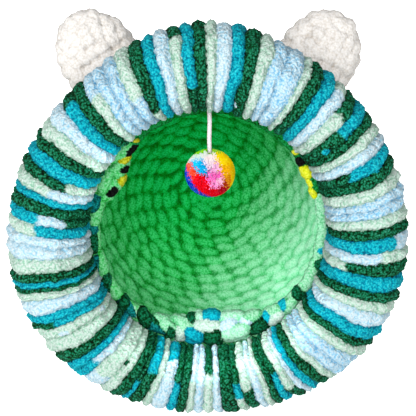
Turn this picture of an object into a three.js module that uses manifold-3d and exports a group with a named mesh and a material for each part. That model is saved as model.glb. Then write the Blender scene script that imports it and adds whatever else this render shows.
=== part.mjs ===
// A worked cat cave: a fat ribbed brim round the mouth, a pouch of thick rounds behind it,
// two lumpy ears and a pompom on a short cord. Millimetres, +Z up, the mouth faces -Y.

import * as THREE from 'three';
import { mergeVertices } from 'three/addons/utils/BufferGeometryUtils.js';
import Module from 'manifold-3d';

const SEAM_GAP = 0.3; // between pieces that are sewn together
const FLOOR_Z = 0;

// Brim: a filled roll round the mouth. Its outside sags into its lower corners and draws in at the bottom.
const BRIM_PLANE_Y = -121;
const BRIM_CENTRE_Z = 203;
const BRIM_OUTER_RADIUS = 212;
const BRIM_SLUMP = 5.4;
const BRIM_DRAW_IN = 7;
const BRIM_HALF_DEPTH = 44;
const BRIM_SQUARENESS = 2.2;
const BRIM_SECTION_SIDES = 10;
const MOUTH_CENTRE_Z = 194;
const MOUTH_HALF_WIDTH = 127;
const MOUTH_HALF_HEIGHT = 133;

// Ribs run round the roll from its back to the mouth, crowded at the bottom and wide at the top.
const RIB_COUNT = 97;
const RIB_CROWDING = 0.13;
const RIB_DEPTH = 5;
const RIB_UNEVENNESS = 1.2;
const RIB_SHAPE = [
  { along: 0, depth: RIB_DEPTH },
  { along: 0.22, depth: 0 },
  { along: 0.78, depth: 0 },
];

// Pouch: one layer of thick stitches, widest behind the brim, pressed flat where it rests.
const SEAT_Y = BRIM_PLANE_Y + 36;
const BODY_WIDEST_Y = -10;
const BODY_BACK_Y = 163;
const BODY_RADIUS = 184;
const BODY_SEAT_RADIUS = 168;
const BODY_CENTRE_Z = 173;
const BODY_SEAT_CENTRE_Z = 198;
const BODY_POLE_RISE = 6;
const BODY_ROUNDNESS = 2.4;
const BODY_SIDES = 32;
const BODY_OUTLINE_STATIONS = 40;
const BODY_WALL = 17;
const ROUND_PITCH = 13;
const ROUND_RELIEF = 2.4;

// Joining round: bulky stitches just inside the mouth, thrice as fat at the bottom, fatter again on the left.
const JOIN_STITCHES = 36;
const JOIN_STEPS_PER_STITCH = 3;
const JOIN_RADIUS = 7.4;
const JOIN_BULGES = [
  { clock: 176, spread: 30, rise: 13.5 },
  { clock: 298, spread: 15, rise: 8.4 },
];
const JOIN_SIDES = 8;
const JOIN_DENT = 0.26;
const JOIN_SEAT_STEP = 6; // counted round the brim's section from its outside

// Ears: flat lumpy discs that stand on the pouch behind the brim.
const EAR_LEAN = THREE.MathUtils.degToRad(32.5);
const EAR_REACH = 219; // from the pouch's middle line to the middle of the ear
const EAR_Y = -59;
const EAR_HALF = { wide: 41, deep: 23, tall: 52 };
const EAR_LUMP = 0.07;
const EAR_LOBES = 7;
const EAR_SIDES = 24;
const EAR_RINGS = 12;

// Pompom and its cord.
const CORD_RADIUS = 2.25;
const CORD_SIDES = 8;
const CORD_STEPS = 5;
const POMPOM_RADIUS = 26;
const POMPOM_CORE_RADIUS = 17;
const POMPOM_DETAIL = 2;
const POMPOM_TRIM = 0.5;
const CORD_X = 1;
const CORD_ROUTE = [
  [CORD_X, BRIM_PLANE_Y, 326.7],
  [CORD_X, BRIM_PLANE_Y, 324],
  [CORD_X, BRIM_PLANE_Y, 321],
  [CORD_X + 0.1, BRIM_PLANE_Y, 318],
  [CORD_X + 0.2, BRIM_PLANE_Y, 315],
  [CORD_X + 0.3, BRIM_PLANE_Y, 312],
  [CORD_X + 0.4, BRIM_PLANE_Y, 309],
  [CORD_X + 0.5, BRIM_PLANE_Y, 306],
  [CORD_X + 0.6, BRIM_PLANE_Y, 303],
  [CORD_X + 0.7, BRIM_PLANE_Y, 300],
  [CORD_X + 0.8, BRIM_PLANE_Y, 297],
  [CORD_X + 0.9, BRIM_PLANE_Y, 294],
  [CORD_X + 1, BRIM_PLANE_Y, 291.5],
  [CORD_X + 1, BRIM_PLANE_Y, 289.5],
  [CORD_X + 1, BRIM_PLANE_Y, 288.3],
];

const COLOURS = {
  brim: 0x6fc3b4,
  join: 0x3f9f8c,
  body: 0x22ad52,
  ear: 0xf3efe7,
  cord: 0xf5f2ed,
  pompom: 0xe0405a,
};

const wasm = await Module();
wasm.setup();

// A steady unevenness between -1 and 1 for the n-th rib, stitch or lock.
function unevenness(n) {
  return 0.6 * Math.sin(2.4 * n) + 0.4 * Math.sin(5.1 * n);
}

function signedPower(value, power) {
  return Math.sign(value) * Math.abs(value) ** power;
}

// The roll's section at a clock angle from the top of the mouth: its middle, its outward direction
// and its half width.
function brimSection(clock) {
  const sine = Math.sin(clock);
  const cosine = Math.cos(clock);
  const drawnIn = (BRIM_DRAW_IN * (1 - cosine)) / 2;
  const radius = BRIM_OUTER_RADIUS - BRIM_SLUMP * (cosine - Math.cos(3 * clock)) - drawnIn;
  const outer = new THREE.Vector3(radius * sine, BRIM_PLANE_Y, BRIM_CENTRE_Z + radius * cosine);
  const mouth = new THREE.Vector3(
    MOUTH_HALF_WIDTH * sine,
    BRIM_PLANE_Y,
    MOUTH_CENTRE_Z + MOUTH_HALF_HEIGHT * cosine,
  );
  const outward = outer.clone().sub(mouth);
  const halfWidth = outward.length() / 2;
  return { middle: outer.add(mouth).multiplyScalar(0.5), outward: outward.normalize(), halfWidth };
}

// A point of the roll's section, turned from its outside towards the front of the brim.
function brimSectionPoint(section, turn, depth) {
  const power = 2 / BRIM_SQUARENESS;
  const out = (section.halfWidth - depth) * signedPower(Math.cos(turn), power);
  const forward = (BRIM_HALF_DEPTH - depth) * signedPower(Math.sin(turn), power);
  const point = section.middle.clone().addScaledVector(section.outward, out);
  point.y -= forward;
  return point;
}

// The clock angle of a place along the ribs, counted in ribs from the top of the mouth.
function ribClock(place) {
  const even = (2 * Math.PI * place) / RIB_COUNT;
  return even + RIB_CROWDING * Math.sin(even);
}

function brimGeometry() {
  const steps = RIB_COUNT * RIB_SHAPE.length;
  const geometry = new THREE.TorusGeometry(BRIM_OUTER_RADIUS, BRIM_HALF_DEPTH, BRIM_SECTION_SIDES, steps);
  const position = geometry.getAttribute('position');
  for (let index = 0; index < position.count; index++) {
    const step = (steps - (index % (steps + 1))) % steps;
    const side = Math.floor(index / (steps + 1)) % BRIM_SECTION_SIDES;
    const rib = Math.floor(step / RIB_SHAPE.length);
    const shape = RIB_SHAPE[step % RIB_SHAPE.length];
    const clock = ribClock(rib + shape.along - 0.5);
    const depth = shape.depth - RIB_UNEVENNESS * unevenness(rib);
    const point = brimSectionPoint(brimSection(clock), (2 * Math.PI * side) / BRIM_SECTION_SIDES, depth);
    point.y = Math.min(point.y, SEAT_Y - SEAM_GAP);
    point.z = Math.max(point.z, FLOOR_Z);
    position.setXYZ(index, point.x, point.y, point.z);
  }
  return geometry;
}

// The pouch's radius at a depth, for its outside or, brought in by the wall, for its inside.
function bodyRadius(y, inset) {
  if (y <= BODY_WIDEST_Y) {
    const towardsSeat = (BODY_WIDEST_Y - y) / (BODY_WIDEST_Y - SEAT_Y);
    return BODY_RADIUS - inset - (BODY_RADIUS - BODY_SEAT_RADIUS) * towardsSeat ** 2;
  }
  const towardsBack = (y - BODY_WIDEST_Y) / (BODY_BACK_Y - inset - BODY_WIDEST_Y);
  const fullness = Math.max(0, 1 - towardsBack ** BODY_ROUNDNESS);
  return (BODY_RADIUS - inset) * fullness ** (1 / BODY_ROUNDNESS);
}

// The height of the pouch's middle line: it sags from the brim down to where the pouch rests.
function bodyCentreZ(y) {
  const sag = THREE.MathUtils.smoothstep(y, SEAT_Y, BODY_WIDEST_Y);
  const towardsBack = Math.max(0, (y - BODY_WIDEST_Y) / (BODY_BACK_Y - BODY_WIDEST_Y));
  const rise = BODY_POLE_RISE * towardsBack ** 2;
  return THREE.MathUtils.lerp(BODY_SEAT_CENTRE_Z, BODY_CENTRE_Z, sag) + rise;
}

// The pouch's profile from the brim to the middle of its back, with each round of stitches raised.
function bodyProfile(inset, reliefSign) {
  const outline = [];
  for (let station = 0; station <= BODY_OUTLINE_STATIONS; station++) {
    const quarter = (station / BODY_OUTLINE_STATIONS) * (Math.PI / 2);
    const y = THREE.MathUtils.lerp(SEAT_Y, BODY_BACK_Y - inset, Math.sin(quarter));
    outline.push(new THREE.Vector2(bodyRadius(y, inset), y));
  }
  const curve = new THREE.SplineCurve(outline);
  const rounds = Math.round(curve.getLength() / ROUND_PITCH);
  const points = [];
  for (let step = 0; step <= 2 * rounds; step++) {
    const share = step / (2 * rounds);
    const tangent = curve.getTangentAt(share);
    const outward = new THREE.Vector2(tangent.y, -tangent.x).multiplyScalar(reliefSign);
    const relief = step % 2 === 0 ? -ROUND_RELIEF / 2 : ROUND_RELIEF / 2;
    const raised = step === 0 || step === 2 * rounds ? 0 : relief;
    points.push(curve.getPointAt(share).addScaledVector(outward, raised));
  }
  points[0].set(bodyRadius(SEAT_Y, inset), SEAT_Y);
  points[points.length - 1].x = 0;
  return points;
}

function bodyGeometry() {
  const inside = bodyProfile(BODY_WALL, -1).reverse();
  const outside = bodyProfile(0, 1);
  const geometry = new THREE.LatheGeometry([...inside, ...outside], BODY_SIDES);
  const position = geometry.getAttribute('position');
  const perTurn = inside.length + outside.length;
  for (let index = 0; index < position.count; index++) {
    const isInside = index % perTurn < inside.length;
    const lowest = isInside ? FLOOR_Z + BODY_WALL : FLOOR_Z;
    const z = position.getZ(index) + bodyCentreZ(position.getY(index));
    position.setZ(index, Math.max(z, lowest));
  }
  return geometry;
}

// The joining round's radius at a clock angle in degrees, swollen by each of its bulges.
function joinRadius(degrees) {
  let radius = JOIN_RADIUS;
  for (const { clock, spread, rise } of JOIN_BULGES) {
    const apart = THREE.MathUtils.euclideanModulo(degrees - clock + 180, 360) - 180;
    radius += rise * Math.exp(-((apart / spread) ** 2));
  }
  return radius;
}

// A ring of bulky stitches laid on the back of the mouth's edge. It bulges only away from the brim.
function joinGeometry() {
  const steps = JOIN_STITCHES * JOIN_STEPS_PER_STITCH;
  const seatTurn = (2 * Math.PI * JOIN_SEAT_STEP) / BRIM_SECTION_SIDES;
  const geometry = new THREE.TorusGeometry(MOUTH_HALF_WIDTH, JOIN_RADIUS, JOIN_SIDES, steps);
  const position = geometry.getAttribute('position');
  for (let index = 0; index < position.count; index++) {
    const step = (steps - (index % (steps + 1))) % steps;
    const side = Math.floor(index / (steps + 1)) % JOIN_SIDES;
    const clock = (2 * Math.PI * step) / steps;
    const section = brimSection(clock);
    const seat = brimSectionPoint(section, seatTurn, -RIB_UNEVENNESS);
    const away = section.outward.clone().multiplyScalar(Math.cos(seatTurn) / section.halfWidth);
    away.y = -Math.sin(seatTurn) / BRIM_HALF_DEPTH;
    away.normalize();
    const across = new THREE.Vector3(section.outward.x * away.y, 0, section.outward.z * away.y);
    across.y = -section.outward.dot(away);
    const radius = joinRadius(THREE.MathUtils.radToDeg(clock));
    const turn = (2 * Math.PI * side) / JOIN_SIDES;
    const facingAway = (1 + Math.cos(turn)) / 2;
    const dent = step % JOIN_STEPS_PER_STITCH === 0 ? JOIN_DENT * facingAway : 0;
    const point = seat.addScaledVector(away, SEAM_GAP + radius);
    point.addScaledVector(away, radius * (1 - dent) * Math.cos(turn));
    point.addScaledVector(across, radius * (1 - dent) * Math.sin(turn));
    position.setXYZ(index, point.x, point.y, point.z);
  }
  return geometry;
}

// A puffed disc whose lumps stand for its bunched stitches, leaning out from the pouch to one side.
function earGeometry(side) {
  const geometry = new THREE.SphereGeometry(1, EAR_SIDES, EAR_RINGS);
  const position = geometry.getAttribute('position');
  const direction = new THREE.Vector3();
  for (let index = 0; index < position.count; index++) {
    direction.fromBufferAttribute(position, index);
    const round = Math.atan2(direction.x, direction.z);
    const lumps = Math.cos(EAR_LOBES * round) + Math.cos(4 * Math.PI * direction.y + 2 * round);
    const onAxis = Math.hypot(direction.x, direction.z) < 1e-6;
    direction.multiplyScalar(onAxis ? 1 : 1 + (EAR_LUMP / 2) * lumps);
    position.setXYZ(index, direction.x, direction.y, direction.z);
  }
  geometry.scale(EAR_HALF.wide, EAR_HALF.deep, EAR_HALF.tall);
  geometry.rotateY(side * EAR_LEAN);
  geometry.translate(
    side * EAR_REACH * Math.sin(EAR_LEAN),
    EAR_Y,
    bodyCentreZ(EAR_Y) + EAR_REACH * Math.cos(EAR_LEAN),
  );
  return geometry;
}

// A core ball with a tapered lock standing on each of its faces, one lock pointing up at the cord.
function pompomGeometry() {
  const core = new THREE.IcosahedronGeometry(POMPOM_CORE_RADIUS, POMPOM_DETAIL);
  const corners = core.getAttribute('position');
  const rootOf = (index) => new THREE.Vector3().fromBufferAttribute(corners, index);
  const firstLock = rootOf(0).add(rootOf(1)).add(rootOf(2)).normalize();
  const upright = new THREE.Quaternion().setFromUnitVectors(firstLock, new THREE.Vector3(0, 0, 1));
  const triangles = [];
  for (let index = 0; index < corners.count; index += 3) {
    const roots = [rootOf(index), rootOf(index + 1), rootOf(index + 2)];
    const tip = roots[0].clone().add(roots[1]).add(roots[2]).normalize();
    const trim = index === 0 ? 0 : POMPOM_TRIM * (1 - unevenness(index));
    tip.multiplyScalar(POMPOM_RADIUS - trim);
    for (let corner = 0; corner < 3; corner++) {
      triangles.push(roots[corner], roots[(corner + 1) % 3], tip);
    }
  }
  const geometry = new THREE.BufferGeometry().setFromPoints(triangles);
  geometry.applyQuaternion(upright);
  const [x, y, z] = CORD_ROUTE[CORD_ROUTE.length - 1];
  geometry.translate(x, y, z - SEAM_GAP - POMPOM_RADIUS);
  return geometry;
}

function cordGeometry() {
  const section = new THREE.Shape();
  for (let side = 0; side < CORD_SIDES; side++) {
    const turn = (2 * Math.PI * side) / CORD_SIDES;
    section[side === 0 ? 'moveTo' : 'lineTo'](CORD_RADIUS * Math.cos(turn), CORD_RADIUS * Math.sin(turn));
  }
  section.closePath();
  const route = new THREE.CatmullRomCurve3(CORD_ROUTE.map((point) => new THREE.Vector3(...point)));
  return new THREE.ExtrudeGeometry(section, { steps: CORD_STEPS, extrudePath: route });
}

function asManifold(source) {
  const bare = new THREE.BufferGeometry();
  bare.setAttribute('position', source.getAttribute('position'));
  bare.setIndex(source.getIndex());
  const merged = mergeVertices(bare, 1e-4);
  const faces = merged.getIndex().array;
  const whole = [];
  for (let face = 0; face < faces.length; face += 3) {
    const [a, b, c] = faces.slice(face, face + 3);
    if (a !== b && b !== c && c !== a) {
      whole.push(a, b, c);
    }
  }
  const vertProperties = new Float32Array(merged.getAttribute('position').array);
  return new wasm.Manifold(new wasm.Mesh({ numProp: 3, vertProperties, triVerts: new Uint32Array(whole) }));
}

function fromManifold(solid) {
  const mesh = solid.getMesh();
  const geometry = new THREE.BufferGeometry();
  geometry.setAttribute('position', new THREE.BufferAttribute(mesh.vertProperties, 3));
  geometry.setIndex(new THREE.BufferAttribute(mesh.triVerts, 1));
  return geometry;
}

function addPiece(group, name, geometry, colour) {
  const material = new THREE.MeshStandardMaterial({ color: colour, roughness: 0.95, metalness: 0 });
  const mesh = new THREE.Mesh(geometry, material);
  mesh.name = name;
  group.add(mesh);
}

const cave = new THREE.Group();
const body = bodyGeometry();
addPiece(cave, 'brim', brimGeometry(), COLOURS.brim);
addPiece(cave, 'joining_round', joinGeometry(), COLOURS.join);
addPiece(cave, 'cave_body', body, COLOURS.body);
const bodySolid = asManifold(body);
const seamedBody = bodySolid.add(bodySolid.translate([0, 0, SEAM_GAP]));
addPiece(cave, 'ear_left', fromManifold(asManifold(earGeometry(-1)).subtract(seamedBody)), COLOURS.ear);
addPiece(cave, 'ear_right', fromManifold(asManifold(earGeometry(1)).subtract(seamedBody)), COLOURS.ear);
addPiece(cave, 'pompom_cord', cordGeometry(), COLOURS.cord);
addPiece(cave, 'pompom', pompomGeometry(), COLOURS.pompom);

export default cave;
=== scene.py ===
import math
import re

import bmesh
import bpy
import numpy as np
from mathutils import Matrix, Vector, kdtree, noise


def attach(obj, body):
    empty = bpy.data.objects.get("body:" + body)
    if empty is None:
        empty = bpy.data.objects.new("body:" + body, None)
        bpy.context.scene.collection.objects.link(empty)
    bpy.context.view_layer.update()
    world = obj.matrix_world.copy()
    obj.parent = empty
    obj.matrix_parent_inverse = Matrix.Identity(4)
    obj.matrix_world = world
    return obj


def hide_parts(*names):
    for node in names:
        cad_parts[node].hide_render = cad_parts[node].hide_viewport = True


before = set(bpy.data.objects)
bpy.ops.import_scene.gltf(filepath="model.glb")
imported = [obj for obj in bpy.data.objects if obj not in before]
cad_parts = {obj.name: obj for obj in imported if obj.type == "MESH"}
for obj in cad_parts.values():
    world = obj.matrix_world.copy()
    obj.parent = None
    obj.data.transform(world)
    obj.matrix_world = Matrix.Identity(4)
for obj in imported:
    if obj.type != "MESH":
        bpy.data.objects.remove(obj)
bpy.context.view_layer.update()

scene = bpy.context.scene
scene.view_settings.view_transform = "Standard"
rng = np.random.default_rng(11)

# camera: in front of the mouth and a little above it
camera = {
    "focalPixels": 762,          # on a frame as wide as the next value
    "framePixels": 416,
    "sensorWidth": 36,           # millimetres
    "clipStart": 0.01,
    "distance": 0.8,             # from the aim
    "elevation": 14,             # degrees
    "aim": (0.0, -0.121, 0.2245),
}


def placeCamera():
    data = bpy.data.cameras.new("camera")
    data.sensor_width = camera["sensorWidth"]
    data.lens = camera["sensorWidth"] * camera["focalPixels"] / camera["framePixels"]
    data.clip_start = camera["clipStart"]
    eye = bpy.data.objects.new("camera", data)
    scene.collection.objects.link(eye)
    lift = math.radians(camera["elevation"])
    aim = Vector(camera["aim"])
    eye.location = aim + camera["distance"] * Vector((0, -math.cos(lift), math.sin(lift)))
    eye.rotation_euler = (aim - eye.location).to_track_quat("-Z", "Y").to_euler()
    scene.camera = eye


placeCamera()
print("camera placed")


# from a screen's colour to its light, by the usual sums
def fromHex(text):
    parts = [int(text[i:i + 2], 16) / 255 for i in (1, 3, 5)]
    return np.array([p / 12.92 if p <= 0.04045 else ((p + 0.055) / 1.055) ** 2.4 for p in parts])


# yarn colours, as they look in daylight, with some painted paler where light falls or deeper in shade
yarns = {
    "g": fromHex("#055f39"),     # bottle green
    "t": fromHex("#05b4c8"),     # teal
    "p": fromHex("#d2effb"),     # pale blue
    "s": fromHex("#c2e8fb"),     # sky
    "m": fromHex("#cce9da"),     # mint
    "e": fromHex("#08a54a"),     # green of the pouch
    "a": fromHex("#aeeac9"),     # the same green, painted pale where the light falls most
    "l": fromHex("#90d6ab"),     # light green of the joining round
    "f": fromHex("#68cb82"),     # and a middling one
    "d": fromHex("#0a7f36"),     # the green in the shade of the brim
    "k": fromHex("#0a0d0b"),     # black
    "y": fromHex("#e6ee3a"),     # yellow
    "o": fromHex("#c6ca2a"),     # yellow in the shade
    "h": fromHex("#067f7c"),     # teal in the shade
    "w": fromHex("#ece8e3"),     # warm white
}


# shader maths written as plain sums: a Wire holds one socket
class Wire:
    def __init__(self, tree, socket=None):
        self.tree = tree
        self.socket = socket

    def node(self, kind, settings, sockets, output=0):
        made = self.tree.nodes.new(kind)
        for name, value in settings.items():
            if name == "stops":
                ramp = made.color_ramp
                while len(ramp.elements) < len(value):
                    ramp.elements.new(1)
                for element, (place, shade) in zip(ramp.elements, value):
                    element.position = place
                    element.color = (shade, shade, shade, 1)
            else:
                setattr(made, name, value)
        for name, value in sockets.items():
            if isinstance(value, Wire):
                self.tree.links.new(value.socket, made.inputs[name])
            else:
                made.inputs[name].default_value = value
        return Wire(self.tree, made.outputs[output] if made.outputs else None)

    def maths(self, operation, first, second):
        return self.node("ShaderNodeMath", {"operation": operation}, {0: first, 1: second})

    # a Mix node takes its colours at sockets 6 and 7, and gives a colour at 2
    def mixed(self, share, first, second, blend="MIX"):
        settings = {"data_type": "RGBA", "blend_type": blend}
        return self.node("ShaderNodeMix", settings, {0: share, 6: first, 7: second}, 2)

    def __add__(self, other):
        return self.maths("ADD", self, other)

    def __sub__(self, other):
        return self.maths("SUBTRACT", self, other)

    def __rsub__(self, other):
        return self.maths("SUBTRACT", other, self)

    def __mul__(self, other):
        return self.maths("MULTIPLY", self, other)

    __radd__ = __add__
    __rmul__ = __mul__


def newMaterial(name):
    made = bpy.data.materials.new(name)
    made.use_nodes = True
    made.node_tree.nodes.clear()
    return made, Wire(made.node_tree)


# plush yarn: crumbs of pile with deep gaps between them; these are the same in every finish
plush = {
    "fluff": 1000,
    "fluffDetail": 3,
    "fluffShare": 0.6,           # of the pile's height
    "crumbShare": 0.9,
    "blotchDetail": 2,
    "gapCrumbs": 0.7,            # how much the crumbs and the fluff open the gaps
    "gapFluff": 0.45,
    "gapStops": [(0.44, 0), (0.61, 0.27), (0.80, 1)],
    "roughness": 0.95,
    "specular": 0.05,
}


# one finish, in the colour that the mesh carries
def plushYarn(name, look):
    made, pen = newMaterial(name)
    place = pen.node("ShaderNodeTexCoord", {}, {}, "Object")
    yarn = pen.node("ShaderNodeAttribute", {"attribute_name": "yarn"}, {}, "Color")
    crumb = pen.node("ShaderNodeTexVoronoi", {}, {"Vector": place, "Scale": look["crumbs"]}, "Distance")
    fluff = pen.node("ShaderNodeTexNoise", {},
                     {"Vector": place, "Scale": plush["fluff"], "Detail": plush["fluffDetail"]})
    blotch = pen.node("ShaderNodeTexNoise", {},
                      {"Vector": place, "Scale": look["blotch"], "Detail": plush["blotchDetail"]})
    pile = 1 - crumb * plush["crumbShare"] + fluff * plush["fluffShare"]
    gaps = pen.node("ShaderNodeValToRGB", {"stops": plush["gapStops"]},
                    {"Fac": crumb * plush["gapCrumbs"] + fluff * plush["gapFluff"]})
    # light bounces in the pile, so its gaps are a deeper shade of the yarn and its tips a paler one
    tips = look["tips"] - look["blotchDepth"] / 2
    deepness = gaps * look["depth"] + blotch * look["blotchDepth"] + tips
    pure = pen.node("ShaderNodeGamma", {}, {"Color": yarn, "Gamma": deepness})
    tone = pen.mixed(1.0, pure, (look["reflects"],) * 3 + (1,), "MULTIPLY")
    bump = pen.node("ShaderNodeBump", {}, {"Height": pile, "Distance": look["pileHeight"],
                                           "Strength": look["pileStrength"]})
    skin = pen.node("ShaderNodeBsdfPrincipled", {},
                    {"Base Color": tone, "Roughness": plush["roughness"], "Normal": bump,
                     "Specular IOR Level": plush["specular"]})
    pen.node("ShaderNodeOutputMaterial", {}, {"Surface": skin})
    return made


def settle(piece, slot, *nodes):
    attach(piece, "root")
    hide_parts(*nodes)


# a mesh from arrays, its faces all of one kind, its colours on its points; open ends are closed by one face
def meshPiece(name, points, faces, colours, finish):
    data = bpy.data.meshes.new(name)
    corners = faces.shape[1]
    data.vertices.add(len(points))
    data.vertices.foreach_set("co", points.astype(np.float32).ravel())
    data.loops.add(faces.size)
    data.loops.foreach_set("vertex_index", faces.astype(np.int32).ravel())
    data.polygons.add(len(faces))
    data.polygons.foreach_set("loop_start", np.arange(0, faces.size, corners, dtype=np.int32))
    data.update(calc_edges=True)
    layer = data.color_attributes.new("yarn", "FLOAT_COLOR", "POINT")
    layer.data.foreach_set("color", np.c_[colours, np.ones(len(colours))].astype(np.float32).ravel())
    shaper = bmesh.new()
    shaper.from_mesh(data)
    openEdges = [edge for edge in shaper.edges if edge.is_boundary]
    for edge in openEdges:
        edge.smooth = False
    bmesh.ops.holes_fill(shaper, edges=openEdges)
    bmesh.ops.recalc_face_normals(shaper, faces=shaper.faces)
    for face in shaper.faces:
        face.smooth = True
    shaper.to_mesh(data)
    shaper.free()
    data.materials.append(finish)
    piece = bpy.data.objects.new(name, data)
    scene.collection.objects.link(piece)
    return piece


# faces of a grid of points that wraps round its columns, and round its rows if it is a ring
def gridFaces(rows, columns, ring):
    grid = np.arange(rows * columns).reshape(rows, columns)
    turned = np.roll(grid, -1, 1)
    ahead, turnedAhead = np.roll(grid, -1, 0), np.roll(turned, -1, 0)
    faces = np.stack([grid, ahead, turnedAhead, turned], -1)
    return (faces if ring else faces[:-1]).reshape(-1, 4)


def unit(ways):
    return ways / np.linalg.norm(ways, axis=-1, keepdims=True)


def signedPower(value, power):
    return np.sign(value) * np.abs(value) ** power


# from 0 to 1, slow at both ends
def eased(share):
    return share * share * (3 - 2 * share)


# soft lumps of a given size, from -1 to 1
def lumps(points, size):
    flat = (points.reshape(-1, 3) / size).tolist()
    return np.array([noise.noise(p) for p in flat]).reshape(points.shape[:-1])


# crumbs of pile: high in the middle of each crumb, low between crumbs
def crumbs(points, size):
    flat = (points.reshape(-1, 3) / size).tolist()
    return np.array([0.5 - noise.voronoi(p)[0][0] for p in flat]).reshape(points.shape[:-1])


# cord: white, from the top of the mouth down into the pompom
cord = {
    "top": (0.001, -0.121, 0.3295),
    "end": (0.002, -0.1215, 0.2820),
    "radius": 0.00225,
    "points": 16,
    "exit": (0.001, -0.121, 0.3267),
    "sway": 0.0004,
    "roundness": 4,              # bevel steps
    "plies": 190,
    "plyWander": 1.5,
    "plyShare": 0.5,             # of the tint, and the rest is the fluff's
    "fluff": 1600,
    "fluffDetail": 3,
    "fluffHeight": 0.6,          # beside the plies
    "bumpHeight": 0.0006,
    "deepTint": (0.30, 0.285, 0.285, 1),
    "paleTint": (0.41, 0.40, 0.40, 1),
    "roughness": 0.9,
}


def cordFinish():
    made, pen = newMaterial("white_cord")
    place = pen.node("ShaderNodeTexCoord", {}, {}, "Object")
    plies = pen.node("ShaderNodeTexWave", {"bands_direction": "DIAGONAL"},
                     {"Vector": place, "Scale": cord["plies"], "Distortion": cord["plyWander"]}, "Fac")
    fluff = pen.node("ShaderNodeTexNoise", {},
                     {"Vector": place, "Scale": cord["fluff"], "Detail": cord["fluffDetail"]})
    paintedLight = plies * cord["plyShare"] + fluff * (1 - cord["plyShare"])
    tint = pen.mixed(paintedLight, cord["deepTint"], cord["paleTint"])
    bump = pen.node("ShaderNodeBump", {}, {"Height": plies + fluff * cord["fluffHeight"],
                                           "Distance": cord["bumpHeight"]})
    skin = pen.node("ShaderNodeBsdfPrincipled", {},
                    {"Base Color": tint, "Roughness": cord["roughness"], "Normal": bump})
    pen.node("ShaderNodeOutputMaterial", {}, {"Surface": skin})
    return made


def makeCord():
    data = bpy.data.curves.new("pompom_cord_yarn", "CURVE")
    data.dimensions = "3D"
    data.bevel_depth = cord["radius"]
    data.bevel_resolution = cord["roundness"]
    data.use_fill_caps = True
    line = data.splines.new("POLY")
    line.points.add(cord["points"] - 1)
    for index, point in enumerate(line.points):
        share = index / (cord["points"] - 1)
        place = Vector(cord["top"]).lerp(Vector(cord["end"]), share)
        place.x += cord["sway"] * math.sin(2 * math.pi * share)
        point.co = (*place, 1)
    data.materials.append(cordFinish())
    piece = bpy.data.objects.new("pompom_cord_yarn", data)
    scene.collection.objects.link(piece)
    settle(piece, "white_cord", "pompom_cord")
    return piece


cordPiece = makeCord()
print("cord made")

# brim: a fat roll of ribs round the mouth, in its solid's sizes apart from the dips before the ears
brim = {
    "planeY": -0.121,
    "centreZ": 0.203,
    "outerRadius": 0.212,
    "slump": 0.0054,
    "drawIn": 0.007,
    "shoulders": [(27, 16, 0.0055), (327, 23, 0.0061)],    # the dips: clock angle, spread, depth
    "halfDepth": 0.044,
    "squareness": 2.2,
    "mouthCentreZ": 0.194,
    "mouthHalfWidth": 0.127,
    "mouthHalfHeight": 0.133,
    "seatY": -0.0853,
    "floorZ": 0.0006,
    "steps": 1200,               # round the mouth
    "frontTurns": (-35, 205),    # degrees round the roll, from the outside over the front into the mouth
    "frontSteps": 138,
    "backSteps": 26,
    "firstEdge": -0.6,           # degrees
    "crowding": 8.1,             # degrees by which the ribs are drawn down at each side
    "ribHeight": 0.0062,
    "ribArch": 0.96,             # at 1 a rib is half a circle across
    "sway": 0.9,                 # degrees, over the size that follows
    "swaySize": 0.030,
    "fray": 0.5,
    "fraySize": 0.0060,
    "frayShift": 0.5,            # so that sway, fray and lumps don't go together
    "crumbSize": 0.0032,
    "crumbHeight": 0.0028,
    "lumpSize": 0.013,
    "lumpHeight": 0.0030,
    "lumpShift": 0.2,
    "crest": 0.0012,             # how far the pile stands out of the solid
    "changeLength": 0.03,        # where a rib changes colour, as shares of the way to the mouth
    "changeWander": 0.05,
    "changeSize": 0.007,
    "crumbPaintedShade": 0.8,            # painted shade: high pile is painted paler, and the grooves between ribs darker
    "groovePaintedShade": 1.8,
    "groovePower": 3,
    "toneRange": (0.5, 2.5),
    "mouthPaintedLight": [(173, 45, 1.4), (305, 24, 0.6)],    # painted light where the ribs turn into the mouth: clock angle, spread, how much
    "mouthLightStart": 0.62,           # share of the way to the mouth
    "mouthLightLength": 0.28,
    # painted shade at the top of the brim
    "topShade": 0.06,
    "pieces": 3,
}

# each rib's width in degrees and its colour, clockwise from the top;
# in "4.5g33m" green turns to mint a third of the way to the mouth
ribChart = """
    3.4m 4.7p 4.8t 5.4g 4.5m 4.2s 6.6s 3.0m 4.8g 4.8t 4.2m12p 4.5g33m 4.8t45g 3.6g 3.9m 3.9p 3.9t62g
    4.2g 4.5m 3.3s 3.0s 3.9m 3.6g 4.8p26t 3.6m42p 4.2g80m 5.1t 3.6g 3.0m 4.2p 4.2t 3.0g 3.6m 3.3s 3.3s
    2.4m 3.3g 2.5t 1.8p 3.2g40m 2.4t67g 2.4g 2.1m 2.4p 3.3g56m 2.4m44t66g 4.8g 2.4p 3.0m82g 2.7p 2.4m73p
    3.3g 2.4t68g 4.2p92t 2.4m 4.0g70t 1.3t56g 3.4g 3.0m 5.7p38m 2.7t48p 2.7t 3.9g 4.5m 3.6m 2.1g40t 2.7t
    4.5p 2.4m 1.5g 2.0t 2.8g 4.8m 4.2p 3.5p 4.3m42t 3.6t45p75g 3.9g 2.6t 4.0m50p 3.9g66m 4.8t 3.9g 4.8m
    5.4p 4.8g12t 4.8g 4.5s30m 4.2s 4.8s 5.1m60s 4.8g85m 4.2t 4.5p 4.2g12m 4.2t66g 4.2g
""".split()
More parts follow.
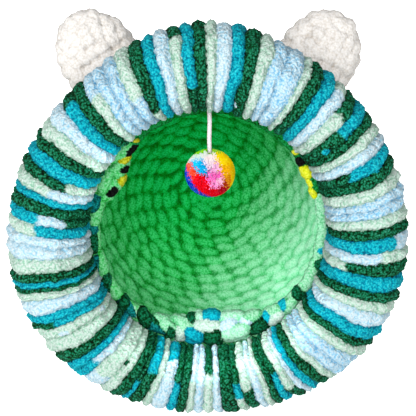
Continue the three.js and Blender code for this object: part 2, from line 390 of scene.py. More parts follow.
# flecks of another yarn: angle and share of the way to the mouth, how far they reach in each, colour
ribFlecks = [
    (57.6, 0.73, 1.2, 0.045, "t"), (13.0, 0.88, 0.7, 0.030, "p"), (73.4, 0.30, 1.1, 0.030, "t"),
    (230.3, 0.42, 1.0, 0.08, "p"), (231.0, 0.95, 1.1, 0.030, "p"), (209.6, 0.70, 0.8, 0.035, "g"),
    (236.3, 0.25, 1.0, 0.05, "t"),
]

stripedFinish = plushYarn("striped_plush", {
    "crumbs": 430, "blotch": 60, "blotchDepth": 0.25, "tips": 0.62, "depth": 1.4,
    "pileHeight": 0.0018, "pileStrength": 0.8, "reflects": 0.353,
})


# soft bumps round the mouth, from a list of clock angles, spreads and rises
def bumps(clock, places):
    total = 0 * clock
    for at, spread, rise in places:
        apart = (np.degrees(clock) - at + 180) % 360 - 180
        total = total + rise * np.exp(-(apart / spread) ** 2)
    return total


# the roll's section at a clock angle: its middle, its way outwards and half its width
def brimSection(clock):
    sine, cosine = np.sin(clock), np.cos(clock)
    radius = brim["outerRadius"] - brim["slump"] * (cosine - np.cos(3 * clock))
    radius = radius - brim["drawIn"] * (1 - cosine) / 2 - bumps(clock, brim["shoulders"])
    outer = np.stack([radius * sine, brim["centreZ"] + radius * cosine], -1)
    mouth = np.stack([brim["mouthHalfWidth"] * sine,
                      brim["mouthCentreZ"] + brim["mouthHalfHeight"] * cosine], -1)
    across = outer - mouth
    width = np.linalg.norm(across, axis=-1)
    return (outer + mouth) / 2, across / width[..., None], width / 2


# a point of the roll, turned from its outside to the front and so into the mouth
def brimPoint(clock, turn, depth):
    middle, outward, halfWidth = brimSection(clock)
    power = 2 / brim["squareness"]
    out = (halfWidth - depth) * signedPower(np.cos(turn), power)
    forward = (brim["halfDepth"] - depth) * signedPower(np.sin(turn), power) + 0 * out
    return np.stack([middle[..., 0] + outward[..., 0] * out, brim["planeY"] - forward,
                     middle[..., 1] + outward[..., 1] * out], -1)


# the ribs' edges as clock angles, each rib's colours, and the shares of the way where they change
def ribs():
    parts = [re.findall(r"[a-z]|[\d.]+", entry) for entry in ribChart]
    edges = np.radians(brim["firstEdge"] + np.r_[0, np.cumsum([float(part[0]) for part in parts])])
    edges = edges - math.radians(brim["crowding"]) * np.sin(edges)
    most = max(len(part) for part in parts) // 2
    never = 2                    # a share past the end of the way
    colours, changes = [], []
    for part in parts:
        keys = part[1::2] + most * [part[-1]]
        shares = [int(change) / 100 for change in part[2::2]] + most * [never]
        colours.append([yarns[key] for key in keys[:most]])
        changes.append(shares[:most - 1])
    return edges, np.array(colours), np.array(changes)


def ribShade(rib, wander, share, colours, changes):
    shade = colours[rib, 0]
    for step in range(changes.shape[1]):
        blend = np.clip((share - changes[rib, step]) / brim["changeLength"] + 0.5, 0, 1)[..., None]
        shade = shade * (1 - blend) + colours[rib, step + 1] * blend
    seen = np.degrees(wander + math.radians(brim["crowding"]) * np.sin(wander)) % 360
    for at, way, reach, length, key in ribFlecks:
        shade[((seen - at) / reach) ** 2 + ((share - way) / length) ** 2 < 1] = yarns[key]
    return shade


# painted light: the ribs are painted brighter where they turn into the mouth, and painted shade darkens them
# at the top
def ribLight(clock, share):
    mouthLit = np.clip((share - brim["mouthLightStart"]) / brim["mouthLightLength"], 0, 1)
    topmost = np.clip(np.cos(clock), 0, 1)
    return 1 + mouthLit * bumps(clock, brim["mouthPaintedLight"]) - brim["topShade"] * topmost


def brimSurface():
    edges, colours, changes = ribs()
    clock = edges[0] + np.linspace(0, 2 * np.pi, brim["steps"], endpoint=False)[:, None]
    outside, inside = brim["frontTurns"]
    turn = np.radians(np.r_[np.linspace(outside, inside, brim["frontSteps"], endpoint=False),
                            np.linspace(inside, outside + 360, brim["backSteps"], endpoint=False)])[None, :]
    clock = clock + 0 * turn
    smooth = brimPoint(clock, turn, 0)
    # the ribs wander a little, and their edges fray
    wander = brim["sway"] * lumps(smooth, brim["swaySize"])
    wander = wander + brim["fray"] * lumps(smooth + brim["frayShift"], brim["fraySize"])
    wander = (clock + np.radians(wander) - edges[0]) % (2 * np.pi) + edges[0]
    rib = np.clip(np.searchsorted(edges, wander, side="right") - 1, 0, len(colours) - 1)
    within = 2 * (wander - edges[rib]) / (edges[rib + 1] - edges[rib]) - 1
    groove = 1 - np.sqrt(np.clip(1 - brim["ribArch"] * within ** 2, 0, 1))
    crumb = crumbs(smooth, brim["crumbSize"])
    lift = brim["crest"] + brim["lumpHeight"] * lumps(smooth + brim["lumpShift"], brim["lumpSize"])
    lift = lift + brim["crumbHeight"] * crumb
    points = brimPoint(clock, turn, brim["ribHeight"] * groove - lift)
    points[..., 1] = np.minimum(points[..., 1], brim["seatY"])
    points[..., 2] = np.maximum(points[..., 2], brim["floorZ"])
    share = (1 - np.cos(turn)) / 2 + brim["changeWander"] * lumps(smooth, brim["changeSize"])
    shade = ribShade(rib, wander, share, colours, changes)
    # painted shade on the crumbs and in the grooves between ribs
    deepness = 1 - brim["crumbPaintedShade"] * crumb + brim["groovePaintedShade"] * groove ** brim["groovePower"]
    shade = shade ** np.clip(deepness, *brim["toneRange"])[..., None]
    return points, shade * ribLight(clock, share)[..., None]


def makeBrim():
    points, shade = brimSurface()
    steps, sides = points.shape[:2]
    for part in range(brim["pieces"]):
        low, high = part * steps // brim["pieces"], (part + 1) * steps // brim["pieces"]
        rows = np.arange(low, high + 1) % steps
        faces = gridFaces(len(rows), sides, False)
        piece = meshPiece(f"brim_ribs_{part + 1}", points[rows].reshape(-1, 3), faces,
                          shade[rows].reshape(-1, 3), stripedFinish)
        settle(piece, "striped_yarn", "brim")


makeBrim()
print("brim ribs made")


# a surface's points, with the ways along it and out of it, from small steps to each side
def frameOf(surface, u, v, steps):
    stepU, stepV = steps
    point = surface(u, v)
    alongU = unit(surface(u + stepU, v) - surface(u - stepU, v))
    alongV = unit(surface(u, v + stepV) - surface(u, v - stepV))
    return point, alongU, alongV, unit(np.cross(alongU, alongV))


# puffs: how sharply each ends behind its own side of the layer, and how the painted shade in its crease falls
# off
puffForm = {
    "wallPower": 4,
    "creasePower": 2,
}


# one puff for each stitch: turned a little in the cloth, no two quite alike
def makePuffs(centre, long, cross, halfLong, halfCross, height, shades, look):
    count = len(centre)

    def vary(spread):
        return 1 + spread * rng.uniform(-1, 1, count)

    lean = np.radians(look["lean"] + look["leanSpread"] * rng.uniform(-1, 1, count))[:, None]
    shift = look["shift"] * rng.uniform(-1, 1, (count, 2))
    return {
        "centre": centre + shift[:, :1] * long + shift[:, 1:] * cross,
        "long": np.cos(lean) * long + np.sin(lean) * cross,
        "cross": np.cos(lean) * cross - np.sin(lean) * long,
        "halfLong": halfLong * vary(look["sizeSpread"]),
        "halfCross": halfCross * vary(look["sizeSpread"]),
        "height": height * vary(look["heightSpread"]),
        "shade": np.clip(shades * vary(look["toneSpread"])[:, None], 0, 1),
    }


def dots(first, second):
    return np.einsum("ijk,ijk->ij", first, second)


# lift a surface into puffs: at each point the highest of the nearest puffs counts
def raisePuffs(point, out, puffs, look):
    tree = kdtree.KDTree(len(puffs["centre"]))
    for index, centre in enumerate(puffs["centre"].tolist()):
        tree.insert(centre, index)
    tree.balance()
    near = np.array([[found[1] for found in tree.find_n(place, look["neighbours"])]
                     for place in point.tolist()])
    offset = point[:, None, :] - puffs["centre"][near]
    along = dots(offset, puffs["long"][near]) / puffs["halfLong"][near]
    across = dots(offset, puffs["cross"][near]) / puffs["halfCross"][near]
    beneath = dots(offset, np.cross(puffs["long"], puffs["cross"])[near]) / look["halfWall"]
    swell = 1 - np.abs(along) ** look["fullness"] - np.abs(across) ** look["fullness"]
    swell = swell - beneath ** puffForm["wallPower"]
    swell = np.sqrt(np.clip(swell, 0, 1)) * puffs["height"][near]
    best = np.argmax(swell, 1)
    each = np.arange(len(point))
    height, owner = swell[each, best], near[each, best]
    crumb = crumbs(point, look["crumbSize"])
    rough = look["crumbHeight"] * crumb + look["lumpHeight"] * lumps(point, look["lumpSize"])
    share = height / puffs["height"][owner]
    crease = np.clip((1 - share) / look["creaseWidth"], 0, 1) ** puffForm["creasePower"]
    deepness = 1 + look["creaseShadeDepth"] * crease         # painted shade: a crease is painted a deeper shade of its yarn
    # painted shade: low crumbs are painted darker and high crumbs paler
    shade = puffs["shade"][owner] ** deepness[:, None] * (1 + look["crumbShade"] * crumb)[:, None]
    return point + (height + rough)[:, None] * out, np.clip(shade, 0, 1)


# pouch: rounds of thick stitches from the middle of the back to the brim, one layer
pouch = {
    "seatY": -0.085,
    "widestY": -0.010,
    "backY": 0.163,
    "radius": 0.184,
    "seatRadius": 0.168,
    "centreZ": 0.173,
    "seatCentreZ": 0.198,
    "poleRise": 0.006,
    "roundness": 2.4,
    "halfWall": 0.0085,
    "floorZ": 0.0003,
    "profileSteps": 800,
    "pitch": 0.013,
    "stitch": 0.025,
    "fewest": 6,
    "firstAlong": 0.002,         # no stitch lies nearer to the middle of the back
    "stagger": 0.40,             # of a stitch, from each round to the next
    "halfLong": 0.0175,
    "halfCross": 0.0083,
    "fullness": 2.2,
    "lean": -11,
    "leanSpread": 9,
    "shift": 0.0017,
    "sizeSpread": 0.09,
    "heightSpread": 0.08,
    "toneSpread": 0.05,
    "neighbours": 9,
    "creaseShadeDepth": 0.85,
    "creaseWidth": 0.42,
    "crumbShade": 0.12,
    "crumbSize": 0.0038,
    "crumbHeight": 0.0014,
    "lumpSize": 0.010,
    "lumpHeight": 0.0008,
    "paintedLightStart": 0.85,           # painted light: the green is painted paler to the right, to the front and downwards
    "paintedLightWay": (1.25, -3.3, -1.36),
    "paintedLightSides": 10.0,           # and to both sides, by the square of the distance
    "paintedLightEdge": 0.24,            # and past a soft line that slants over the back, where the brim's shadow ends
    "paintedLightMost": 0.96,
    "edgeSlope": 0.6,
    "edgeStart": -0.042,
    "edgeWidth": 0.04,
    "lastHeight": 0.25,          # of a puff's height, in the last round
    "paintedShadeRound": 0.5,             # of a round is painted black as shade, and a whole round more at the bottom
    "paintedShadePower": 4,
    "outsidePaled": 0.15,
    "insideWay": -1,             # the cloth's own way out of the surface points to the outside
    "poleGap": 0.0012,           # the middle of the back, closed by a face
    "seatGap": 0.0006,
    "cut": 0.170,                # along the cloth, from the back, where the two pieces meet
    "insideStep": 0.0017,
    "outsideStep": 0.0026,
    "backColumns": 420,
    "frontColumns": 556,
    "puffSteps": (0.001, 0.005),         # for the ways along the cloth: metres, radians
    "skinSteps": (0.0005, 0.002),
}

greenFinish = plushYarn("green_plush", {
    "crumbs": 420, "blotch": 45, "blotchDepth": 0.15, "tips": 0.86, "depth": 0.5,
    "pileHeight": 0.0012, "pileStrength": 0.5, "reflects": 1.0,
})


# the profile of the layer's middle, from the middle of the back to the brim: length, radius, depth
def pouchProfile():
    inset = pouch["halfWall"]
    quarter = np.linspace(np.pi / 2, 0, pouch["profileSteps"])
    y = pouch["seatY"] + (pouch["backY"] - inset - pouch["seatY"]) * np.sin(quarter)
    towardsSeat = np.clip((pouch["widestY"] - y) / (pouch["widestY"] - pouch["seatY"]), 0, 1)
    towardsBack = np.clip((y - pouch["widestY"]) / (pouch["backY"] - inset - pouch["widestY"]), 0, 1)
    fullness = (1 - towardsBack ** pouch["roundness"]) ** (1 / pouch["roundness"])
    radius = (pouch["radius"] - inset) * fullness
    radius = radius - (pouch["radius"] - pouch["seatRadius"]) * towardsSeat ** 2
    length = np.r_[0, np.cumsum(np.hypot(np.diff(radius), np.diff(y)))]
    return length, radius, y


pouchLength, pouchRadius, pouchDepth = pouchProfile()


def pouchCentreZ(y):
    sag = eased(np.clip((y - pouch["seatY"]) / (pouch["widestY"] - pouch["seatY"]), 0, 1))
    towardsBack = np.maximum(0, (y - pouch["widestY"]) / (pouch["backY"] - pouch["widestY"]))
    middle = pouch["seatCentreZ"] + (pouch["centreZ"] - pouch["seatCentreZ"]) * sag
    return middle + pouch["poleRise"] * towardsBack ** 2


# the layer's middle: how far along the cloth from the middle of the back, and the clock angle
def pouchPoint(along, clock):
    radius = np.interp(along, pouchLength, pouchRadius) * np.where(along < 0, -1, 1)
    y = np.interp(np.abs(along), pouchLength, pouchDepth)
    z = np.maximum(pouchCentreZ(y) + radius * np.cos(clock), pouch["halfWall"])
    return np.stack([radius * np.sin(clock), y + 0 * clock, z], -1)


# where the stitches lie, in a spiral, as they are worked
def pouchRounds():
    alongs, clocks = [], []
    first = math.pi
    for index in range(int(pouchLength[-1] / pouch["pitch"])):
        along = (index + 0.5) * pouch["pitch"]
        around = 2 * math.pi * np.interp(along, pouchLength, pouchRadius)
        count = max(pouch["fewest"], round(around / pouch["stitch"]))
        first = first - pouch["stagger"] * 2 * math.pi / count
        clock = (first + 2 * np.pi * np.arange(count) / count) % (2 * np.pi)
        clocks.append(clock)
        alongs.append(along + pouch["pitch"] * (clock / (2 * np.pi) - 0.5))
    along = np.clip(np.concatenate(alongs), pouch["firstAlong"], pouchLength[-1])
    return along, np.concatenate(clocks)


def pouchPuffs():
    along, clock = pouchRounds()
    centre, cross, long, _ = frameOf(pouchPoint, along, clock, pouch["puffSteps"])
    # painted light: the inside is painted paler where the light falls and stays deep green in the brim's
    # shadow
    pastEdge = centre[:, 0] - pouch["edgeSlope"] * centre[:, 2] - pouch["edgeStart"]
    pastEdge = np.clip(pastEdge / pouch["edgeWidth"] + 0.5, 0, 1)
    paintedLight = pouch["paintedLightStart"] + centre @ np.array(pouch["paintedLightWay"]) + pouch["paintedLightSides"] * centre[:, 0] ** 2
    paintedLight = paintedLight + pouch["paintedLightEdge"] * eased(pastEdge)
    paintedLight = np.clip(paintedLight, 0, pouch["paintedLightMost"])[:, None] ** 2
    shades = yarns["e"] * (1 - paintedLight) + yarns["a"] * paintedLight
    # the last round is drawn flat and painted black as the shade under the joining round
    left = (pouchLength[-1] - along) / pouch["pitch"]
    height = pouch["halfWall"] * np.clip(left, pouch["lastHeight"], 1)
    low = np.clip(-np.cos(clock), 0, 1) ** pouch["paintedShadePower"]
    shades[left < pouch["paintedShadeRound"] + low] = yarns["k"]
    return makePuffs(centre, long, cross, pouch["halfLong"], pouch["halfCross"], height, shades, pouch)


def pouchSkin(along, columns, side, puffs):
    clock = np.linspace(0, 2 * np.pi, columns, endpoint=False)
    along, clock = (grid.ravel() for grid in np.meshgrid(along, clock, indexing="ij"))
    point, _, _, out = frameOf(pouchPoint, along, clock, pouch["skinSteps"])
    points, shade = raisePuffs(point, side * out, puffs, pouch)
    points[:, 2] = np.maximum(points[:, 2], pouch["floorZ"])
    return points, shade


def makePouch():
    puffs = pouchPuffs()
    outsideShade = yarns["e"] * (1 - pouch["outsidePaled"]) + yarns["a"] * pouch["outsidePaled"]
    plainPuffs = {**puffs, "shade": np.tile(outsideShade, (len(puffs["centre"]), 1))}
    seat = pouchLength[-1] - pouch["seatGap"]
    parts = (("pouch_back", pouch["poleGap"], pouch["cut"], pouch["backColumns"], False),
             ("pouch_front", pouch["cut"], seat, pouch["frontColumns"], True))
    for name, low, high, columns, ring in parts:
        inside = np.linspace(low, high, int((high - low) / pouch["insideStep"]))
        outside = np.linspace(high, low, int((high - low) / pouch["outsideStep"]))
        skins = [pouchSkin(inside, columns, pouch["insideWay"], puffs),
                 pouchSkin(outside, columns, -pouch["insideWay"], plainPuffs)]
        points, shade = (np.concatenate(part) for part in zip(*skins))
        faces = gridFaces(len(inside) + len(outside), columns, ring)
        piece = meshPiece(name, points, faces, shade, greenFinish)
        settle(piece, "green_yarn", "cave_body")


makePouch()
print("pouch made")

# joining round: rows of bulky stitches just inside the mouth, much fatter at the bottom
joining = {
    "seatTurn": math.radians(216),
    "radius": 0.0074,
    "bulges": [(176, 30, 0.0135), (298, 15, 0.0084)],      # clock angle, spread, rise
    "rowTurns": (-180, -135, -90, -45, 0, 45, 90, 135),
    "rowCharts": (0, 0, 1, 2, 2, 2, 2, 2),
    "letter": 5,                 # degrees
    "longest": 3,                # letters in a puff
    "ringRadius": 0.118,
    "base": 0.45,                # of the radius
    "overlap": 1.3,
    "leastCross": 0.0046,
    "rowHeights": (1.0, 1.15, 0.95, 1.15, 1.0, 1.0, 1.0, 1.0),
    "lift": 0.0012,              # clear of the brim's ribs
    "gap": 0.0003,
    "pouchYarns": "dlfa",
    "stripedTone": 0.85,         # how bright the brim's yarns are beside the pouch's
    "fullness": 3.0,
    "lean": 4,
    "leanSpread": 10,
    "shift": 0.0012,
    "sizeSpread": 0.08,
    "heightSpread": 0.16,
    "toneSpread": 0.05,
    "neighbours": 26,
    "halfWall": 0.0045,          # deeper than this a puff is on the other side
    "creaseShadeDepth": 0.65,
    "creaseWidth": 0.35,
    "crumbShade": 0.30,
    "crumbSize": 0.0030,
    "crumbHeight": 0.0016,
    "lumpSize": 0.010,
    "lumpHeight": 0.0010,
    "columns": 720,
    "rows": 60,
    "puffSteps": (0.01, 0.02),   # radians
    "skinSteps": (0.003, 0.01),
    "accentHalf": 0.0076,
    "accentCross": 0.38,         # narrower at its root
    "accentRise": 0.0032,        # above the row
}

# the rows that show, clockwise from the top, the row next to the brim first;
# like letters side by side are one puff
joinChart = [
    "dddddddddddddddllllltggllgllmmggaaaggttmghhhhhhfgghhgghfhhffffffdddddddd",
    "dddddddddddddllllllllllllgltmtgppppmmmllllggllgfhffffffffffffffddddddddd",
    "dddddddddddddlllllllllllllltllllaaattagllllfffgffffffffffffffffddddddddd",
]
# puffs that stand out, most of them near the pouch: clock angle, turn round the joining round, colour, size
joinAccents = [
    (49.2, -85, "y", 0.6), (54.4, -58, "k", 1.05), (60.4, -52, "y", 1.2), (65.5, -52, "y", 1.2),
    (71.2, -52, "y", 1.2), (125, -100, "g", 1.1), (177.5, -126, "g", 1.5), (216.5, -88, "g", 1.6),
    (228.5, -95, "g", 1.0), (291.4, -66, "k", 1.4), (298.3, -40, "o", 1.4), (304.5, -60, "k", 0.9),
    (309.5, -62, "o", 1.15), (314.4, -66, "k", 1.7), (320.5, -85, "o", 0.5),
]

joinFinish = plushYarn("joining_plush", {
    "crumbs": 430, "blotch": 60, "blotchDepth": 0.2, "tips": 0.78, "depth": 0.85,
    "pileHeight": 0.0014, "pileStrength": 0.6, "reflects": 0.53,
})


def joinRadius(clock):
    return joining["radius"] + bumps(clock, joining["bulges"])


# the round's core below its puffs, seated on the brim where its roll turns back
def joinPoint(clock, around):
    _, outward, halfWidth = brimSection(clock)
    turn = joining["seatTurn"]
    seat = brimPoint(clock, turn, -joining["lift"])
    away = unit(np.stack([outward[..., 0] * math.cos(turn) / halfWidth,
                          -math.sin(turn) / brim["halfDepth"] + 0 * clock,
                          outward[..., 1] * math.cos(turn) / halfWidth], -1))
    back = np.stack([outward[..., 0] * away[..., 1],
                     -outward[..., 0] * away[..., 0] - outward[..., 1] * away[..., 2],
                     outward[..., 1] * away[..., 1]], -1)
    radius = joinRadius(clock)[..., None]
    spoke = np.cos(around)[..., None] * away + np.sin(around)[..., None] * back
    return seat + away * (radius + joining["gap"]) + spoke * radius * joining["base"]


def joinShade(key):
    return yarns[key] if key in joining["pouchYarns"] else yarns[key] * joining["stripedTone"]


# each puff of the rows: clock angle, turn and span in degrees, rise, shade
def joinRows():
    letter = joining["letter"]
    puffs = []
    for row, turn in enumerate(joining["rowTurns"]):
        chart = joinChart[joining["rowCharts"][row]]
        for run in re.finditer(r"(.)\1*", chart):
            pieces = math.ceil(len(run.group()) / joining["longest"])
            span = letter * len(run.group()) / pieces
            for piece in range(pieces):
                clock = letter * (run.start() - 0.5) + span * (piece + 0.5)
                puffs.append((clock, turn, span, joining["rowHeights"][row], joinShade(run.group(1))))
    return (np.array(column) for column in zip(*puffs))


def joinPuffs():
    clock, turn, span, rise, shades = joinRows()
    clock, turn = np.radians(clock), np.radians(turn)
    radius = joinRadius(clock)
    halfLong = joining["overlap"] * joining["ringRadius"] * np.radians(span) / 2
    rowStep = 2 * math.pi / len(joining["rowTurns"])
    halfCross = np.maximum(joining["overlap"] * radius * joining["base"] * rowStep / 2, joining["leastCross"])
    height = radius * (1 - joining["base"]) * rise
    # the accents stand a little higher than the rows
    places, ways, keys, sizes = zip(*joinAccents)
    accent = np.radians(places)
    half = joining["accentHalf"] * np.array(sizes)
    clock, turn = np.r_[clock, accent], np.r_[turn, np.radians(ways)]
    halfLong, halfCross = np.r_[halfLong, half], np.r_[halfCross, half * joining["accentCross"]]
    height = np.r_[height, joinRadius(accent) * (1 - joining["base"]) + joining["accentRise"]]
    shades = np.concatenate([shades, [joinShade(key) for key in keys]])
    centre, long, cross, _ = frameOf(joinPoint, clock, turn, joining["puffSteps"])
    return makePuffs(centre, long, cross, halfLong, halfCross, height, shades, joining)


def makeJoining():
    rows, columns = joining["rows"], joining["columns"]
    clock = np.linspace(0, 2 * np.pi, columns, endpoint=False)
    around = np.linspace(0, 2 * np.pi, rows, endpoint=False)
    around, clock = (grid.ravel() for grid in np.meshgrid(around, clock, indexing="ij"))
    point, _, _, out = frameOf(joinPoint, clock, around, joining["skinSteps"])
    middle = point.reshape(rows, columns, 3).mean(0)
    outwards = np.sign(np.einsum("ij,ij->i", out, point - np.tile(middle, (rows, 1))))
    points, shade = raisePuffs(point, out * outwards[:, None], joinPuffs(), joining)
    piece = meshPiece("joining_stitches", points, gridFaces(rows, columns, True), shade, joinFinish)
    settle(piece, "striped_yarn", "joining_round")


makeJoining()
print("joining round made")

# ears: flat discs of bunched stitches behind the brim, in rows across the way that each ear leans
ears = {
    "lean": 8,
    "tilt": math.radians(32.5),
    "reach": 0.219,
    "y": -0.059,
    "half": (0.0445, 0.023, 0.054),
    "fineness": 6,               # of the ball that each ear starts from
    "poleClip": 0.9999,
    "rise": 0.0058,
    "rows": 10,
    "rowsTo": 72,                # degrees up and down from the middle
    "stitch": 0.0145,
    "fewest": 3,
    "walkSteps": 400,            # to measure the way round an oval row
    "halfLong": 0.0092,
    "halfCross": 0.0088,
    "fullness": 2.2,
    "leanSpread": 15,
    "shift": 0.0020,
    "sizeSpread": 0.12,
    "heightSpread": 0.18,
    "toneSpread": 0.03,
    "neighbours": 7,
    "halfWall": 0.010,
    "creaseShadeDepth": 0.8,
    "creaseWidth": 0.6,
    "crumbShade": 0.12,
    "crumbSize": 0.0034,
    "crumbHeight": 0.0015,
    "lumpSize": 0.012,
    "lumpHeight": 0.0014,
    "puffSteps": (0.01, 0.01),   # radians
    "skinSteps": (0.002, 0.002),
}

whiteFinish = plushYarn("white_plush", {
    "crumbs": 420, "blotch": 45, "blotchDepth": 0.2, "tips": 0.72, "depth": 0.95,
    "pileHeight": 0.0012, "pileStrength": 0.55, "reflects": 0.385,
})


# the ear's body below its puffs, from the two angles of a ball
def earPoint(side):
    sine, cosine = math.sin(ears["tilt"]), math.cos(ears["tilt"])
    axes = np.array([[cosine, 0, -side * sine], [0, 1, 0], [side * sine, 0, cosine]])
    half = np.array(ears["half"]) - ears["rise"]
    middle = np.array([0, ears["y"], pouchCentreZ(ears["y"])]) + ears["reach"] * axes[2]

    def surface(turn, climb):
        ball = np.stack([np.cos(climb) * np.cos(turn), np.cos(climb) * np.sin(turn), np.sin(climb)], -1)
        return middle + (ball * half) @ axes

    return surface


def earPuffs(surface):
    wide, deep = ears["half"][:2]
    fine = np.linspace(0, 2 * np.pi, ears["walkSteps"])
    walk = np.r_[0, np.cumsum(np.hypot(wide * np.diff(np.cos(fine)), deep * np.diff(np.sin(fine))))]
    turns, climbs = [], []
    for row in range(ears["rows"]):
        climb = math.radians(-ears["rowsTo"] + 2 * ears["rowsTo"] * row / (ears["rows"] - 1))
        around = 2 * math.pi * math.sqrt((wide ** 2 + deep ** 2) / 2) * math.cos(climb)
        count = max(ears["fewest"], round(around / ears["stitch"]))
        places = (np.arange(count) + rng.uniform(0, 1)) / count * walk[-1]
        turns.append(np.interp(places, walk, fine))
        climbs.append(np.full(count, climb))
    turn, climb = np.concatenate(turns), np.concatenate(climbs)
    centre, long, cross, _ = frameOf(surface, turn, climb, ears["puffSteps"])
    return makePuffs(centre, long, cross, ears["halfLong"], ears["halfCross"], ears["rise"],
                     np.tile(yarns["w"], (len(centre), 1)), ears)


def makeEar(side, name):
    ball = bmesh.new()
    bmesh.ops.create_icosphere(ball, subdivisions=ears["fineness"], radius=1)
    ways = np.array([vert.co[:] for vert in ball.verts])
    faces = np.array([[vert.index for vert in face.verts] for face in ball.faces])
    ball.free()
    surface = earPoint(side)
    turn = np.arctan2(ways[:, 1], ways[:, 0])
    climb = np.arcsin(np.clip(ways[:, 2], -ears["poleClip"], ears["poleClip"]))
    point, _, _, out = frameOf(surface, turn, climb, ears["skinSteps"])
    points, shade = raisePuffs(point, out, earPuffs(surface), ears)
    piece = meshPiece(f"{name}_stitches", points, faces, shade, whiteFinish)
    settle(piece, "white_yarn", name)


makeEar(-1, "ear_left")
makeEar(1, "ear_right")
print("ears made")

# pompom: trimmed wool in patches of many colours
pompom = {
    "centre": (0.002, -0.121, 0.262),
    "radius": 0.0255,
    "trim": 0.0008,
    "core": 0.0225,
    "rootDepth": 0.9,            # of the core
    "fibres": 12000,
    "fibreRadius": 0.00046,
    "rootWidth": 0.8,            # of the tip's
    "steepest": 0.9,             # past this a fibre is turned about another axis
    "ruffle": 0.05,
    "blend": 0.075,
    "toneSpread": 0.35,
    "rootShade": 0.55,
    "reflects": 0.57,
    "roughness": 0.95,
    "specular": 0.0,
    "squash": 0.965,
    "parting": 0.0034,           # how much shorter the wool is in front of the cord
    "partingHalfX": 0.12,
    "partingY": -0.22,
    "partingHalfY": 0.26,
    "partingZ": 0.7,
}

# where each patch shows, right and up across the ball as seen from the front, and its colour; patches of the
# same wool differ in colour as painted light and shade
pompomPatches = [
    (-0.60, 0.38, "#10bdf2"), (-0.33, 0.14, "#12b8ee"), (-0.52, 0.66, "#cfe6d9"),
    (-0.20, 0.75, "#dfe9df"), (-0.03, 0.55, "#f6e3e2"), (0.00, 0.30, "#eed6e6"),
    (0.19, 0.16, "#f6b4e0"), (0.22, -0.20, "#fb6cc4"), (0.29, -0.55, "#f590cd"),
    (0.48, 0.50, "#ffde0a"), (0.62, 0.63, "#ffdc08"), (0.68, 0.05, "#fbbc0c"),
    (0.73, -0.29, "#e08c12"), (0.93, -0.12, "#eecb0a"), (-0.81, 0.16, "#f2573a"),
    (-0.66, -0.04, "#ef4a31"), (-0.48, -0.30, "#ee0a1c"), (-0.30, -0.66, "#e4081a"),
    (0.12, -0.82, "#d2091a"), (0.48, -0.60, "#aa0d1e"), (-0.93, -0.17, "#123cc0"),
    (-0.84, -0.51, "#1438b4"), (-0.62, -0.76, "#1a44bc"), (-0.40, -0.91, "#2a45ae"),
    (-0.45, 0.24, "#10bdf2"), (-0.28, 0.92, "#7fd21a"), (0.08, 0.97, "#8ed02a"),
    (0.34, -0.46, "#f8b9d6"),
]
# and behind it: right, up, away, colour
pompomBack = [
    (-0.2, 0.93, 0.25, "#8ed02a"), (0.5, 0.4, 0.7, "#f8c40c"), (-0.5, 0.3, 0.8, "#1aa3ee"),
    (0.4, -0.5, 0.7, "#e8112d"), (-0.5, -0.5, 0.7, "#1c39b4"), (0.0, 0.0, 1.0, "#f757b4"),
    (0.2, 0.8, 0.6, "#f3efe9"),
]


def woolFinish():
    made, pen = newMaterial("pompom_wool")
    yarn = pen.node("ShaderNodeAttribute", {"attribute_name": "yarn"}, {}, "Color")
    skin = pen.node("ShaderNodeBsdfPrincipled", {},
                    {"Base Color": yarn, "Roughness": pompom["roughness"],
                     "Specular IOR Level": pompom["specular"]})
    pen.node("ShaderNodeOutputMaterial", {}, {"Surface": skin})
    return made


# each fibre takes the colour of the patch that it points to most
def pompomColours(ways):
    lift = math.radians(camera["elevation"])
    right = np.array([1, 0, 0])
    up = np.array([0, math.sin(lift), math.cos(lift)])
    ahead = np.array([0, math.cos(lift), -math.sin(lift)])
    heads, shades = [], []
    for x, z, shade in pompomPatches:
        heads.append(x * right + z * up - math.sqrt(max(0, 1 - x * x - z * z)) * ahead)
        shades.append(fromHex(shade))
    for x, z, depth, shade in pompomBack:
        heads.append(unit(x * right + z * up + depth * ahead))
        shades.append(fromHex(shade))
    nearest = np.argmax(ways @ np.array(heads).T, axis=1)
    return np.array(shades)[nearest]


# even ways out of a ball, on a spiral
def spreadWays(count):
    place = np.arange(count) + 0.5
    height = 1 - 2 * place / count
    spin = place * math.pi * (3 - math.sqrt(5))
    flat = np.sqrt(1 - height ** 2)
    return np.stack([flat * np.cos(spin), flat * np.sin(spin), height], -1)


# three-sided fibres: each has three points at its root and three at its tip
def fibreMesh(ways, roots, tips):
    count = len(ways)
    steep = np.abs(ways[:, 2:]) >= pompom["steepest"]
    first = unit(np.cross(ways, np.where(steep, [[1, 0, 0]], [[0, 0, 1]])))
    second = np.cross(ways, first)
    points = np.empty((count, 6, 3))
    for corner in range(3):
        turn = 2 * math.pi * corner / 3
        ray = pompom["fibreRadius"] * (math.cos(turn) * first + math.sin(turn) * second)
        points[:, corner] = roots + ray * pompom["rootWidth"]
        points[:, corner + 3] = tips + ray
    sides = np.array([(0, 1, 4), (0, 4, 3), (1, 2, 5), (1, 5, 4), (2, 0, 3), (2, 3, 5), (3, 4, 5), (2, 1, 0)])
    faces = 6 * np.arange(count)[:, None, None] + sides[None]
    return points.reshape(-1, 3), faces.reshape(-1, 3)


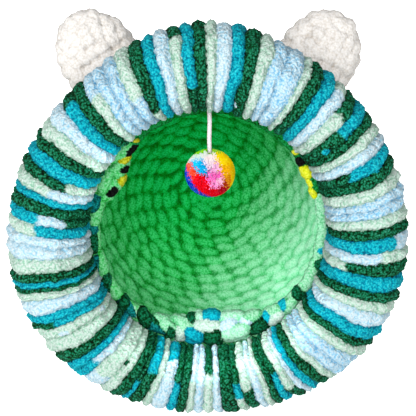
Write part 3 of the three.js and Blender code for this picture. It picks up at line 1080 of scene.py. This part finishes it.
def makePompom():
    count = pompom["fibres"]
    ways = spreadWays(count)
    bent = unit(ways + rng.normal(0, pompom["ruffle"], ways.shape))
    # the wool parts where the cord comes in
    parted = np.abs(bent[:, 0]) < pompom["partingHalfX"]
    parted = parted & (np.abs(bent[:, 1] - pompom["partingY"]) < pompom["partingHalfY"])
    parted = parted & (bent[:, 2] > pompom["partingZ"])
    reach = pompom["radius"] + pompom["trim"] * rng.uniform(-1, 1, count) - pompom["parting"] * parted
    centre = np.array(pompom["centre"])
    shape = np.array([1, 1, pompom["squash"]])
    tips = centre + bent * reach[:, None] * shape
    roots = centre + ways * (pompom["core"] * pompom["rootDepth"]) * shape
    points, faces = fibreMesh(ways, roots, tips)
    shades = pompomColours(bent + rng.normal(0, pompom["blend"], ways.shape))
    shades = shades ** (1 + pompom["toneSpread"] * rng.uniform(-1, 1, count))[:, None]
    colours = np.repeat(np.clip(shades, 0, 1)[:, None, :], 6, 1) * pompom["reflects"]
    # painted shade: the fibres' roots, deep in the ball, are painted darker
    colours[:, :3] *= pompom["rootShade"]
    piece = meshPiece("pompom_wool", points, faces, colours.reshape(-1, 3), woolFinish())
    settle(piece, "pompom_wool", "pompom")
    return piece


pompomPiece = makePompom()
print("pompom made")

# studio: pale floor that runs up behind, soft light from the front and from the front left
studio = {
    "floorHalf": 4.0,
    "wallY": 2.2,
    "wallBend": 0.9,
    "bendStep": 10,              # degrees
    "wallTop": 4.0,
    "floorColour": (0.94, 0.94, 0.94),
    "floorGlow": 0.75,
    "floorRoughness": 0.85,
    "grain": 30,
    "grainDetail": 2,
    "grainRoughness": 0.1,
    "specular": 0.1,
    "sky": 0.10,
    "lights": [
        # where from, size, watts
        ((-1.35, -1.8, 1.1), 1.2, 64),
        ((0.18, -1.94, 0.9), 1.6, 77),
    ],
    "lightAim": (0, -0.1, 0.2),
}


def floorFinish():
    made, pen = newMaterial("floor")
    place = pen.node("ShaderNodeTexCoord", {}, {}, "Object")
    grain = pen.node("ShaderNodeTexNoise", {},
                     {"Vector": place, "Scale": studio["grain"], "Detail": studio["grainDetail"]})
    skin = pen.node("ShaderNodeBsdfPrincipled", {},
                    {"Base Color": (*studio["floorColour"], 1),
                     "Roughness": grain * studio["grainRoughness"] + studio["floorRoughness"],
                     "Specular IOR Level": studio["specular"], "Emission Color": (1, 1, 1, 1),
                     "Emission Strength": studio["floorGlow"]})
    pen.node("ShaderNodeOutputMaterial", {}, {"Surface": skin})
    return made


# the floor's way back, round the bend and up: depth and height
def floorProfile():
    wall, bend = studio["wallY"], studio["wallBend"]
    angles = [math.radians(angle) for angle in range(0, 90 + 1, studio["bendStep"])]
    bent = [(wall - bend + bend * math.sin(angle), bend - bend * math.cos(angle)) for angle in angles]
    return bent + [(wall, studio["wallTop"])]


def makeFloor():
    shaper = bmesh.new()
    half = studio["floorHalf"]
    ends = [shaper.verts.new((-half, -half, 0)), shaper.verts.new((half, -half, 0))]
    edge = [shaper.edges.new(ends)]
    for y, z in floorProfile():
        grown = bmesh.ops.extrude_edge_only(shaper, edges=edge)["geom"]
        ends = [item for item in grown if isinstance(item, bmesh.types.BMVert)]
        for corner in ends:
            corner.co.y, corner.co.z = y, z
        edge = [item for item in grown
                if isinstance(item, bmesh.types.BMEdge) and set(item.verts) <= set(ends)]
    bmesh.ops.recalc_face_normals(shaper, faces=shaper.faces)
    for face in shaper.faces:
        face.smooth = True
    data = bpy.data.meshes.new("floor")
    shaper.to_mesh(data)
    shaper.free()
    data.materials.append(floorFinish())
    floor = bpy.data.objects.new("floor", data)
    scene.collection.objects.link(floor)


def makeLights():
    for index, (place, size, watts) in enumerate(studio["lights"]):
        data = bpy.data.lights.new(f"softbox_{index + 1}", "AREA")
        data.shape = "SQUARE"
        data.size = size
        data.energy = watts
        lamp = bpy.data.objects.new(data.name, data)
        lamp.location = place
        lamp.rotation_euler = (Vector(studio["lightAim"]) - lamp.location).to_track_quat("-Z", "Y").to_euler()
        scene.collection.objects.link(lamp)
    world = bpy.data.worlds.new("sky")
    world.use_nodes = True
    world.node_tree.nodes["Background"].inputs["Color"].default_value = (1, 1, 1, 1)
    world.node_tree.nodes["Background"].inputs["Strength"].default_value = studio["sky"]
    scene.world = world


makeFloor()
makeLights()
print("studio made")
